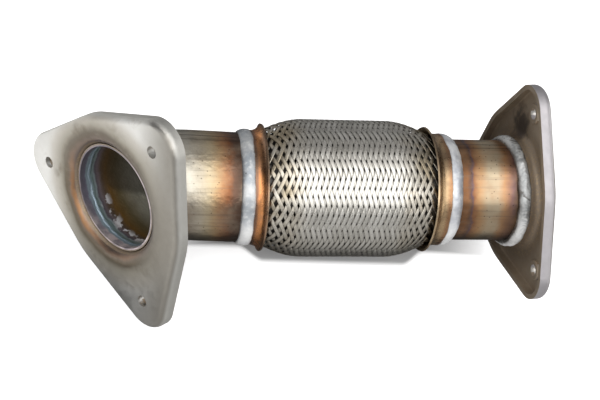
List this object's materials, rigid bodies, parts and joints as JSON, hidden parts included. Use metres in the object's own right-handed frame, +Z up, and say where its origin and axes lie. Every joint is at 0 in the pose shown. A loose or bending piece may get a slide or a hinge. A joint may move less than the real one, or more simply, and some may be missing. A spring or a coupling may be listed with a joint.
{
  "type": "exhaust pipe",
  "caption": "Bent exhaust connector pipe with a braided flexible joint, flared end collars and pressed triangular flanges with tapped bolt holes.",
  "frame": {"origin": "centre of the bounding box's footprint, on the floor that the pipe lies on", "axes": "+Z up from the floor; +X along the braided joint as seen from above, from the inlet to the outlet"},
  "size_m": [0.2942, 0.1236, 0.125],
  "materials": {
    "flange_steel": "satin",
    "tube_heat_tint": "satin",
    "weld_bead": "satin",
    "inlet_collar_copper": "satin",
    "outlet_collar_gold": "satin",
    "braid_steel": "satin",
    "inner_steel": "satin"
  },
  "bodies": {
    "root": {"inlet_flange": "flange_steel", "inlet_flange_weld": "weld_bead", "inlet_elbow": "tube_heat_tint", "inlet_collar_weld": "weld_bead", "inlet_collar": "inlet_collar_copper", "inlet_support_ring": "inner_steel", "interlock_liner": "inner_steel", "bellows": "inner_steel", "outer_braid": "braid_steel", "outlet_support_ring": "inner_steel", "outlet_collar": "outlet_collar_gold", "outlet_collar_weld": "weld_bead", "outlet_tube": "tube_heat_tint", "outlet_flange_weld": "weld_bead", "outlet_flange": "flange_steel"}
  },
  "joints": []
}
